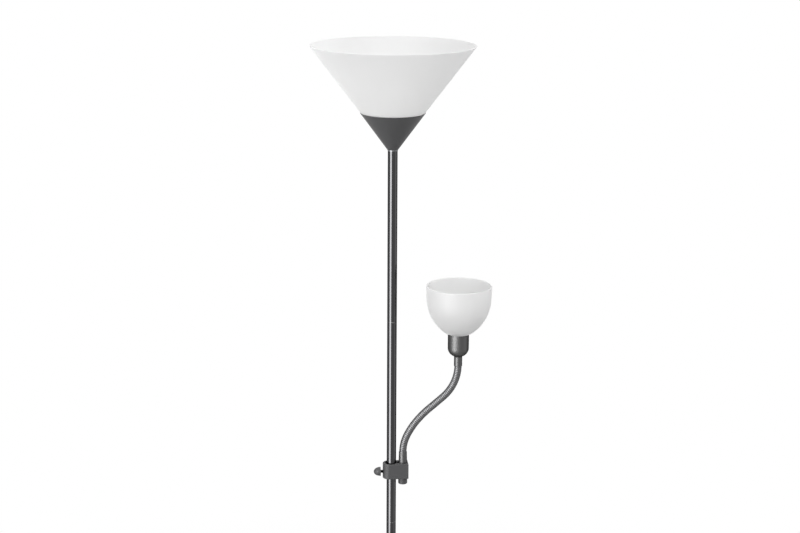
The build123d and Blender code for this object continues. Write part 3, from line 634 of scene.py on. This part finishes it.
# %% Thread shapes
def thread(pitch, depth, start, end, wave=False):
    """A swell for turned(): from start to end the radius drops by depth between the turns.

    With f the fraction of height / pitch - a / 2 pi, a sharp thread drops by depth |2 f - 1|, and a
    wave by depth (1 + cos 2 pi f) / 2. It fades in and out over one pitch, as a tool's run-out does.
    """
    def swell(radius, height, a):
        share = (height / pitch - a / (2 * math.pi)) % 1
        drop = (1 + np.cos(2 * math.pi * share)) / 2 if wave else np.abs(2 * share - 1)
        fade = np.clip(np.minimum(height - start, end - height) / pitch, 0, 1)
        return radius - depth * drop * fade * (radius > 0)
    return swell


def stations(*stops):
    """Outline points on straight runs: each stop is (radius, height, steps from the stop before)."""
    runs = [np.linspace(a[:2], b[:2], b[2], endpoint=False) for a, b in zip(stops, stops[1:])]
    return np.concatenate(runs + [[stops[-1][:2]]])


# %% Thumb screw and knob
screw_low, screw_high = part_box("thumb_screw")
knob_low, knob_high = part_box("screw_knob")
screw_height = (screw_low.z + screw_high.z) / 2
SCREW_RADIUS = 2.5 * MM
SCREW_PITCH = 0.8 * MM
SPIGOT_RADIUS = 1.4 * MM
SPIGOT_LENGTH = 0.8 * MM
screw_length = screw_high.x - screw_low.x
outward = (-1, 0, 0)
screw = turned("thumb_screw_thread", stations(
    (0, 0, 0), (SPIGOT_RADIUS, 0, 2), (SPIGOT_RADIUS, SPIGOT_LENGTH, 2),
    (SCREW_RADIUS - 0.4 * MM, SPIGOT_LENGTH, 2), (SCREW_RADIUS, SPIGOT_LENGTH + 0.4 * MM, 3),
    (SCREW_RADIUS, screw_length, 170), (0, screw_length, 2),
), finishes["black_screw"], foot=(screw_high.x, 0, screw_height), axis=outward, loop=False, sides=64,
    swell=thread(SCREW_PITCH, 0.42 * MM, SPIGOT_LENGTH, screw_length))
place(screw, "screw", "black_screw", "thumb_screw")

KNOB_RADIUS = 7.35 * MM
KNOB_LIP = 1.6 * MM
DOME_RADIUS = 6.95 * MM
knob_length = knob_high.x - knob_low.x
dome = np.linspace(0, math.pi / 2, 32)[1:]
dome = np.stack([DOME_RADIUS * np.cos(dome), KNOB_LIP + (knob_length - KNOB_LIP) * np.sin(dome)], axis=1)
dome[-1, 0] = 0
LIP_STEPS = 5
lip = rounded([(0, 0, 0), (3.6 * MM, 0, 0.2 * MM), (4.2 * MM, 0.5 * MM, 0.2 * MM),
               (KNOB_RADIUS, 0.15 * MM, 0.35 * MM), (KNOB_RADIUS, KNOB_LIP, 0.35 * MM),
               (DOME_RADIUS, KNOB_LIP, 0.15 * MM), (DOME_RADIUS, KNOB_LIP * 1.2, 0)], LIP_STEPS)
corner_points = LIP_STEPS + 3
lip = lip[corner_points:-corner_points]
knob = turned("screw_knob_dome", np.concatenate([[(0, 0.0)], lip, dome]), finishes["knob_grey"],
              foot=(knob_high.x, 0, screw_height), axis=outward, loop=False, sides=96)
place(knob, "screw", "knob_grey", "screw_knob")


# %% [markdown]
# ## Lampholders, rings and bulb caps
#
# Seen from above, the open shades show what holds the bulbs: a threaded barrel, the ring that
# clamps the shade down, with notches for the fingers, and the rolled screw shell of the bulb.

# %% Barrel, rings and caps
barrel_low, barrel_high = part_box("lampholder_barrel")
BARREL_BORE = 17.5 * MM
BARREL_BODY = 19.8 * MM
SEAT_RADIUS = 21.5 * MM
THREAD_RADIUS = 19.5 * MM
SEAT_WALL = 2.0 * MM
seat_foot = shade_low.z - SEAT_WALL
barrel = turned("lampholder_barrel_thread", stations(
    (BARREL_BORE, barrel_low.z, 0), (BARREL_BODY, barrel_low.z, 2), (BARREL_BODY, seat_foot, 3),
    (SEAT_RADIUS, seat_foot, 2), (SEAT_RADIUS, shade_low.z, 2), (THREAD_RADIUS, shade_low.z, 2),
    (THREAD_RADIUS, barrel_high.z, 110), (BARREL_BORE, barrel_high.z, 3),
    (BARREL_BORE, barrel_low.z, 4),
)[:-1], finishes["holder_black"], sides=128,
    swell=lambda radius, height, a: np.where(
        radius > BARREL_BORE + 0.1 * MM,
        thread(2.5 * MM, 0.6 * MM, shade_low.z, barrel_high.z, True)(radius, height, a), radius))
place(barrel, "stand", "holder_black", "lampholder_barrel")


NOTCH_DEPTH = 0.7 * MM


def ring(name, node, body, bore, centre_x, chamfer, notches):
    """A shade ring whose outer face is notched: radius less depth * (cos of notches * a) ** 8."""
    low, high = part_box(node)
    radius = high.x - centre_x
    outline = rounded([
        (bore, low.z, 0.2 * MM), (radius, low.z, 0.3 * MM), (radius, high.z - chamfer, 0.4 * MM),
        (radius - chamfer, high.z, 0.4 * MM), (bore, high.z, 0.3 * MM)], 4)

    def notched(r, height, a):
        outer = np.clip((r - bore) / (radius - bore) * 2 - 1, 0, 1)
        return r - NOTCH_DEPTH * outer * np.cos(notches / 2 * a) ** 8
    made = turned(name, outline, finishes["holder_black"], foot=(centre_x, 0, 0), sides=288,
                  swell=notched)
    place(made, body, "holder_black", node)


ring("shade_ring_notched", "shade_ring", "stand", 19.55 * MM, 0.0, 1.6 * MM, 36)
ring("reading_ring_notched", "reading_ring", "head", 13.85 * MM, HEAD_X, 1.0 * MM, 24)


CAP_SHEET = 0.35 * MM


def bulb_cap(name, node, body, centre_x, pitch, depth):
    """A bulb's screw cap: contact, black insulator's cone, rolled shell with a round thread."""
    low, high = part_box(node)
    radius = high.x - centre_x
    tall = high.z - low.z
    outline = stations(
        (0, low.z, 0), (radius / 3, low.z, 3), (radius, low.z + tall / 6, 6),
        (radius, high.z, 120), (radius - CAP_SHEET, high.z, 1),
        (radius - CAP_SHEET, high.z - tall / 6, 4), (0, high.z - tall / 6, 2))
    swell = thread(pitch, depth, low.z + tall / 6, high.z - pitch / 2, True)
    made = turned(name, outline, finishes["bulb_cap"], foot=(centre_x, 0, 0), loop=False,
                  sides=96, swell=swell)
    place(made, body, "bulb_cap", node)


bulb_cap("uplighter_bulb_cap_thread", "uplighter_bulb_cap", "stand", 0.0, 3.6 * MM, 0.9 * MM)
bulb_cap("reading_bulb_cap_thread", "reading_bulb_cap", "head", HEAD_X, 2.8 * MM, 0.6 * MM)

# %% [markdown]
# ## Floor and background
#
# The lamp stands on a pale floor in a white room. Near the lamp the floor is a matt surface that
# keeps the lamp's shadow. Further out it fades to plain white for the camera, and for glossy and
# transmitted rays, so metal shows the same white room; the Light Path node tells these rays
# apart from the ones that carry the light.


# %% Rays that see the background
def sees_background(tree, x, y):
    """1 for camera, glossy and transmission rays, and 0 for the rest."""
    path = new_node(tree, "ShaderNodeLightPath", x, y)
    kinds = ("Camera", "Glossy", "Transmission")
    seen, gloss, through = (path.outputs[f"Is {kind} Ray"] for kind in kinds)
    first = math_node(tree, "MAXIMUM", seen, gloss, x + 200, y)
    return math_node(tree, "MAXIMUM", first, through, x + 400, y)


FLOOR_RADIUS = 12.0
FADE_START, FADE_END = 0.5, 2.6
floor_finish = bpy.data.materials.new("floor_pale")
floor_finish.use_nodes = True
tree = floor_finish.node_tree
shader = tree.nodes["Principled BSDF"]
shader.inputs["Roughness"].default_value = 0.9
shader.inputs["Specular IOR Level"].default_value = 0.0
shader.inputs["Emission Color"].default_value = (1, 1, 1, 1)
coords = new_node(tree, "ShaderNodeTexCoord", -1400, 0)
flat = new_node(tree, "ShaderNodeVectorMath", -1200, 0, operation="MULTIPLY")
flat.inputs[1].default_value = (1, 1, 0)
tree.links.new(coords.outputs["Object"], flat.inputs[0])
far = new_node(tree, "ShaderNodeVectorMath", -1000, 0, operation="LENGTH")
tree.links.new(flat.outputs[0], far.inputs[0])
fade = new_node(tree, "ShaderNodeMapRange", -800, 0, interpolation_type="SMOOTHSTEP")
tree.links.new(far.outputs["Value"], fade.inputs["Value"])
fade.inputs["From Min"].default_value = FADE_START
fade.inputs["From Max"].default_value = FADE_END
seen = sees_background(tree, -1000, -400)
faded = math_node(tree, "MULTIPLY", fade.outputs[0], seen, -400, -100)
matt = math_node(tree, "SUBTRACT", 1.0, faded, -300, 100)
FLOOR_TONE = 0.5
GLOW_NEAR = 0.52
pale = math_node(tree, "MULTIPLY", matt, FLOOR_TONE, -200, 100)
tree.links.new(pale, shader.inputs["Base Color"])
glow_here = math_node(tree, "MULTIPLY_ADD", fade.outputs[0], 1 - GLOW_NEAR, -500, -300)
glow_here.node.inputs[2].default_value = GLOW_NEAR
glow = math_node(tree, "MULTIPLY", glow_here, seen, -300, -300)
tree.links.new(glow, shader.inputs["Emission Strength"])

a = np.linspace(0, 2 * math.pi, 96, endpoint=False)
rim_points = np.stack([FLOOR_RADIUS * np.cos(a), FLOOR_RADIUS * np.sin(a), np.zeros_like(a)], axis=-1)
floor_mesh = bpy.data.meshes.new("floor")
floor_mesh.from_pydata(rim_points, [], [list(range(len(a)))])
floor_mesh.materials.append(floor_finish)
floor = bpy.data.objects.new("floor", floor_mesh)
bpy.context.scene.collection.objects.link(floor)
print("floor radius", FLOOR_RADIUS)

# %% World
AMBIENT = 0.58
world = bpy.data.worlds.new("studio")
world.use_nodes = True
bpy.context.scene.world = world
tree = world.node_tree
white = tree.nodes["Background"]
white.inputs["Color"].default_value = (1, 1, 1, 1)
soft = new_node(tree, "ShaderNodeBackground", 0, -200)
soft.inputs["Color"].default_value = (1, 1, 1, 1)
soft.inputs["Strength"].default_value = AMBIENT
mix = new_node(tree, "ShaderNodeMixShader", 250, 0)
tree.links.new(sees_background(tree, -500, 200), mix.inputs[0])
tree.links.new(soft.outputs[0], mix.inputs[1])
tree.links.new(white.outputs[0], mix.inputs[2])
tree.links.new(mix.outputs[0], tree.nodes["World Output"].inputs["Surface"])
print("world ambient", AMBIENT)

# %% [markdown]
# ## Lamps
#
# Two jobs are kept apart, as a studio keeps flags and reflectors apart. Three lamps carry the
# soft light and are hidden from glossy rays: a key on the left, a high fill in front that reaches
# into the open shades, and a weak top lamp. Three reflectors are seen only in gloss: the tall one
# on the left draws a single bright stripe on a thin upright tube, at the angle halfway between
# itself and the camera, and weaker ones at the right and above keep the far side from going flat.
# The metals are dark, so the left one has to be strong to show in them.


# %% Soft boxes
def soft_box(name, bearing, distance, height, wide, tall, radiance, aim=None, diffuse=True, glossy=True):
    """An area lamp at a bearing from -Y towards +X, in degrees, aimed at the pole at a height.

    A flat lamp of area A and radiance L gives L * A * pi watts.
    """
    light = bpy.data.lights.new(name, "AREA")
    light.shape = "RECTANGLE"
    light.size = wide
    light.size_y = tall
    light.energy = radiance * math.pi * wide * tall
    lamp = bpy.data.objects.new(name, light)
    turn = math.radians(bearing)
    away = Vector((math.sin(turn), -math.cos(turn), 0))
    lamp.location = away * distance + Vector((0, 0, height))
    from_aim = lamp.location - Vector((0, 0, height if aim is None else aim))
    lamp.rotation_euler = from_aim.to_track_quat("Z", "Y").to_euler()
    lamp.visible_camera = False
    lamp.visible_diffuse, lamp.visible_glossy = diffuse, glossy
    bpy.context.scene.collection.objects.link(lamp)
    print(name, [round(v, 2) for v in lamp.location], round(light.energy), "W")
    return lamp


soft_box("key", -64, 2.6, 1.2, 1.8, 2.4, 1.9, glossy=False)
soft_box("reflector_left", -46, 2.2, 1.6, 1.5, 3.2, 11.5, diffuse=False)
soft_box("reflector_right", 75, 2.2, 1.0, 1.2, 2.0, 0.9, diffuse=False)
soft_box("fill", 16, 2.4, 3.6, 2.4, 1.6, 3.9, aim=1.6, glossy=False)
soft_box("top", 0, 0.0, 4.2, 2.4, 2.4, 0.8, aim=1.6, glossy=False)
soft_box("reflector_top", 0, 0.0, 4.1, 2.4, 2.4, 6.0, aim=1.6, diffuse=False)

# %% [markdown]
# ## Camera
#
# The camera stands 2.47 m in front of the pole and a little above the lamp's rim, and looks down
# by 14 degrees. It is turned 5 degrees about the lamp, so that the arm points slightly away.

# %% Camera
CAMERA_DISTANCE = 2.4692
CAMERA_HEIGHT = 2.0575
CAMERA_TURN = math.radians(-5)
PITCH, YAW, ROLL = (math.radians(v) for v in (14.03, 0.277, 0.32))
FOCAL_SHARE = 1655.9 / 800
camera_data = bpy.data.cameras.new("camera")
camera_data.sensor_width = 36
camera_data.lens = FOCAL_SHARE * camera_data.sensor_width
camera = bpy.data.objects.new("camera", camera_data)
bpy.context.scene.collection.objects.link(camera)
bpy.context.scene.camera = camera
look = Vector((math.sin(YAW) * math.cos(PITCH), math.cos(YAW) * math.cos(PITCH), -math.sin(PITCH)))
right = Vector((math.cos(YAW), -math.sin(YAW), 0))
above = right.cross(look)
rolled_right = right * math.cos(ROLL) + above * math.sin(ROLL)
rolled_above = above * math.cos(ROLL) - right * math.sin(ROLL)
axes = Matrix((rolled_right, rolled_above, -look)).transposed().to_4x4()
stand_point = Matrix.Translation((0, -CAMERA_DISTANCE, CAMERA_HEIGHT))
camera.matrix_world = Matrix.Rotation(CAMERA_TURN, 4, "Z") @ stand_point @ axes
bpy.context.scene.view_settings.view_transform = "Standard"
print("camera lens", round(camera_data.lens, 2), "mm at", [round(v, 3) for v in camera.location])

# %% Update the scene, and the end
bpy.context.view_layer.update()
